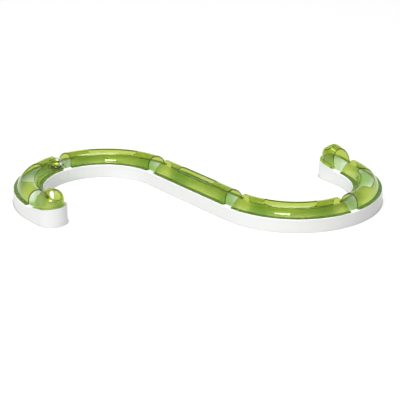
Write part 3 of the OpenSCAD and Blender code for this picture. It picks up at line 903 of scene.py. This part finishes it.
# %% [markdown]
# The ball is two clear half shells that meet at a lip on the equator. Clear balls look
# dark round their outline, because light that grazes the wall is bent away, and that only
# happens if both faces of the wall are really there. So each shell is a closed profile,
# with the ring that holds the pod, turned about the ball's upright axis.

# %% Profiles of the ball's shells
# Outer and inner radius, and the lip at the equator with its clearance
BALL_R = 19.5
BALL_IN = 17.5
LIP_R = 18.3
LIP_H = 1.6
LIP_GAP = 0.15
# The ring that holds the pod: its radii, its end near the equator, and the shoulder in it
RING_IN = 11.15
RING_OUT = 12.35
RING_BORE = 9.95
RING_TOP = 6.1
SHOULDER = 9.1
# Points along the ball's outside, along the inside down to the ring, and within the ring
OUTSIDE_POINTS, INSIDE_POINTS, CROWN_POINTS = 40, 16, 12


def arc(r, start_r, end_r, steps):
    """Points (radius, height) of a circle about the centre: r times the cosine and the
    sine of angles that step evenly from one radius to another."""
    angle = np.linspace(math.acos(start_r / r), math.acos(end_r / r), steps)
    return r * np.stack([np.cos(angle), np.sin(angle)], axis=1)


outside = arc(BALL_R, 0.0, BALL_R, OUTSIDE_POINTS)
ring = np.array([
    (RING_OUT, RING_TOP), (RING_IN, RING_TOP), (RING_IN, SHOULDER), (RING_BORE, SHOULDER),
])
crown = arc(BALL_IN, RING_BORE, 0.0, CROWN_POINTS)
lower_profile = np.concatenate([
    outside, [(LIP_R, 0.0), (LIP_R, -LIP_H), (BALL_IN, -LIP_H)],
    arc(BALL_IN, BALL_IN, RING_OUT, INSIDE_POINTS), ring, crown,
])
recess, recess_top = LIP_R + LIP_GAP, LIP_H + LIP_GAP
recess_meets_wall = math.sqrt(BALL_IN ** 2 - recess_top ** 2)
upper_profile = np.concatenate([
    outside, [(recess, 0.0), (recess, recess_top)],
    arc(BALL_IN, recess_meets_wall, RING_OUT, INSIDE_POINTS), ring, crown,
])
print(f"profiles: {len(lower_profile)} points below, {len(upper_profile)} above the equator")

# %% [markdown]
# A profile goes once round the upright axis through the ball's centre, which is read off the
# frame's upper shell: its middle in plan, and its lower face in height. The first and last
# point of each profile lie on the axis, so the weld closes both poles.

# %% Ball
low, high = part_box("ball_shell_upper")
ball_centre = np.array([(low.x + high.x) / 2, (low.y + high.y) / 2, low.z]) / MM


def turned_shell(profile, upside, sides=96):
    """Sweeps a profile of (radius, height), which starts and ends on the axis, once round
    it. Heights count down from the equator on the lower shell and up on the upper one."""
    turn = np.linspace(0, 2 * math.pi, sides + 1)
    r, h = profile.T
    points = np.stack([
        r[:, None] * np.cos(turn), r[:, None] * np.sin(turn),
        np.broadcast_to((upside * h)[:, None], (len(r), sides + 1)),
    ], axis=-1)
    return points.reshape(-1, 3) + ball_centre, grid_faces(len(r), sides + 1)


for side, profile, upside in (("lower", lower_profile, -1), ("upper", upper_profile, 1)):
    points, faces = turned_shell(profile, upside)
    solid_from(f"ball_shell_{side}_clear", points, faces, ball_clear, "ball",
               f"ball_shell_{side}")

# %% [markdown]
# The bases and the parts inside the ball keep their shapes from the frame. An opaque wall
# looks the same however its triangles run, and the one clear part, the light, is shut in
# the pod. So only the finish changes: each mesh's materials are cleared for the new one.

# %% Finishes of the frame's own pieces
finishes = {
    white_abs: [name for name in nodes if name.endswith("_base") or "_base_" in name],
    black_abs: ["pod_cup", "pod_lid"],
    board_mask: ["circuit_board"],
    cell_nickel: ["button_cells"],
    light_clear: ["light_and_switch"],
}
for material, names in finishes.items():
    for name in names:
        nodes[name].data.materials.clear()
        nodes[name].data.materials.append(material)
    print(material.name, "on", ", ".join(sorted(names)))

# %% [markdown]
# The photograph is a cut-out on white, so the ground is white wherever a camera, a gloss or
# a clear wall looks at it. It keeps the toy's shadow. Where the walls stand on it, a thin dark
# line of painted shade dims its glow, worked out by ambient occlusion over a few millimetres.
# What lights the toy is plain grey paper, so the white plastic keeps its own shade.

# %% Floor
FLOOR_HALF = 6.0
# Share of the floor's look that glows. The rest is paper, which keeps the toy's shadow
SEEN_WHITE = 0.6
# Painted shade at the foot of a wall, a dark line in the glow: its width, and the glow there and
# in the open
FOOT_SHADE_MM = 2.5
PAINTED_SHADE_GLOW, OPEN_GLOW = 0.2, 1.3


def seen_directly(tree):
    """One for rays that show the surroundings: from the camera, off a gloss, or through a
    clear wall, as long as no dull surface has scattered the ray before."""
    ray = add_node(tree, "ShaderNodeLightPath")
    first = add_node(tree, "ShaderNodeMath", {
        0: ray.outputs["Is Camera Ray"], 1: ray.outputs["Is Glossy Ray"],
    }, operation="ADD", use_clamp=True)
    clear = add_node(tree, "ShaderNodeMath", {
        0: first.outputs["Value"], 1: ray.outputs["Is Transmission Ray"],
    }, operation="ADD", use_clamp=True)
    unscattered = add_node(tree, "ShaderNodeMath", {
        0: 0.5, 1: ray.outputs["Diffuse Depth"],
    }, operation="GREATER_THAN")
    return add_node(tree, "ShaderNodeMath", {
        0: clear.outputs["Value"], 1: unscattered.outputs["Value"],
    }, operation="MULTIPLY").outputs["Value"]


floor_material, tree = new_material("paper_sweep_white")
paper = add_node(tree, "ShaderNodeBsdfDiffuse", {"Color": linear("C0C0C0")})
# Painted shade at the foot of a wall: there half of the view upwards is shut off, so the range
# starts at a half
foot = add_node(tree, "ShaderNodeAmbientOcclusion", {
    "Distance": FOOT_SHADE_MM * MM,
}, samples=8)
glow_with_painted_shade = add_node(tree, "ShaderNodeMapRange", {
    "Value": foot.outputs["AO"], "From Min": 0.5, "From Max": 1.0,
    "To Min": PAINTED_SHADE_GLOW, "To Max": OPEN_GLOW,
})
glow = add_node(tree, "ShaderNodeEmission", {
    "Color": linear("FFFFFF"), "Strength": glow_with_painted_shade.outputs["Result"],
})
share = add_node(tree, "ShaderNodeMath", {
    0: seen_directly(tree), 1: SEEN_WHITE,
}, operation="MULTIPLY")
ground = add_node(tree, "ShaderNodeMixShader", {
    "Fac": share.outputs["Value"], 1: paper.outputs["BSDF"], 2: glow.outputs["Emission"],
})
add_node(tree, "ShaderNodeOutputMaterial", {"Surface": ground.outputs["Shader"]})

floor_mesh = bpy.data.meshes.new("floor")
floor_mesh.from_pydata(
    [(x * FLOOR_HALF, y * FLOOR_HALF, 0.0) for x, y in ((-1, -1), (1, -1), (1, 1), (-1, 1))],
    [], [(0, 1, 2, 3)])
floor_mesh.materials.append(floor_material)
floor = bpy.data.objects.new("floor", floor_mesh)
bpy.context.scene.collection.objects.link(floor)
floor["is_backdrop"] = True
print(f"floor {2 * FLOOR_HALF:.0f} m wide, {SEEN_WHITE:.0%} of its look glows")

# %% [markdown]
# Round the floor is the world. As light on the toy it is only a faint, even level. What is
# seen of it is white at the height of the floor and through the covers, and in a gloss it
# dims upwards, as the walls and the ceiling of a studio do.

# %% White surroundings
# The world's plain level as light, and what is seen of it: white at the foot, grey on top.
# The two heights are sines of the elevation between which it dims
AMBIENT = 0.12
BACKDROP_FOOT, BACKDROP_TOP = 1.0, 0.3
DIM_FROM, DIM_TO = 0.05, 0.4

world = bpy.data.worlds.new("white_studio")
bpy.context.scene.world = world
world.use_nodes = True
tree = world.node_tree
tree.nodes.clear()
height = add_node(tree, "ShaderNodeSeparateXYZ", {
    "Vector": add_node(tree, "ShaderNodeTexCoord").outputs["Generated"],
})
backdrop = add_node(tree, "ShaderNodeMapRange", {
    "Value": height.outputs["Z"], "From Min": DIM_FROM, "From Max": DIM_TO,
    "To Min": BACKDROP_FOOT, "To Max": BACKDROP_TOP,
})
through_wall = add_node(tree, "ShaderNodeMath", {
    0: backdrop.outputs["Result"],
    1: add_node(tree, "ShaderNodeLightPath").outputs["Is Transmission Ray"],
}, operation="MAXIMUM")
sky_level = add_node(tree, "ShaderNodeMapRange", {
    "Value": seen_directly(tree), "To Min": AMBIENT, "To Max": through_wall.outputs["Value"],
})
sky = add_node(tree, "ShaderNodeBackground", {
    "Color": linear("FFFFFF"), "Strength": sky_level.outputs["Result"],
})
add_node(tree, "ShaderNodeOutputWorld", {"Surface": sky.outputs["Background"]})
print(f"ambient {AMBIENT}, seen as {BACKDROP_FOOT} at the foot and {BACKDROP_TOP} on top")

# %% [markdown]
# Four soft boxes light the toy. A wide one overhead fills the channel, and a wide one in
# front, a little to the camera's left, makes the walls that face it bright and lets those
# that face right fall into shade. Both are left out of the gloss. The two that are seen
# there are small: one straight overhead draws the pale line beside the slots and the spot
# on the far dome, and a low one in front draws the bars along the covers.

# %% Lamps
def soft_box(name, azimuth, elevation, distance, size, watts, in_gloss):
    """A rectangular area lamp that faces the toy from an azimuth counted as the camera's,
    an elevation and a distance. A gloss shows it or leaves it out."""
    a, e = math.radians(azimuth), math.radians(elevation)
    back = Vector((math.sin(a) * math.cos(e), -math.cos(a) * math.cos(e), math.sin(e)))
    data = bpy.data.lights.new(name, "AREA")
    data.shape = "RECTANGLE"
    data.size, data.size_y = size
    data.energy = watts
    lamp = bpy.data.objects.new(name, data)
    bpy.context.scene.collection.objects.link(lamp)
    lamp.location = back * distance
    lamp.rotation_euler = back.to_track_quat("Z", "Y").to_euler()
    lamp.visible_glossy = in_gloss
    print(f"{name}: {watts:.0f} W from {azimuth} degrees round, {elevation} up")


# Name, azimuth and elevation in degrees, distance and size in metres, power in watts
for lamp_values in (
    ("top_box", 5, 80, 4.0, (4.4, 3.6), 156, False),
    ("front_wide_box", 20, 28, 5.0, (3.2, 2.4), 34, False),
    ("overhead_box", 50, 88, 4.0, (2.2, 2.0), 60, True),
    ("front_box", 36, 14, 4.5, (1.5, 0.7), 62, True),
):
    soft_box(*lamp_values)

# %% [markdown]
# Light that enters a cut edge is thrown from face to face many times before it leaves the
# sheet. A renderer gives up after a number of bounces and leaves black, so more are allowed.

# %% Bounces
SHEET_BOUNCES = 32
cycles = bpy.context.scene.cycles
cycles.max_bounces = cycles.glossy_bounces = cycles.transmission_bounces = SHEET_BOUNCES
print("bounces:", cycles.max_bounces)

# %% [markdown]
# The toy's box after the dressing is printed, and the view transform is set to Standard,
# which leaves colours as written.

bpy.context.scene.view_settings.view_transform = "Standard"
low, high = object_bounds()
print("visual box", [round(v, 4) for v in low], [round(v, 4) for v in high])
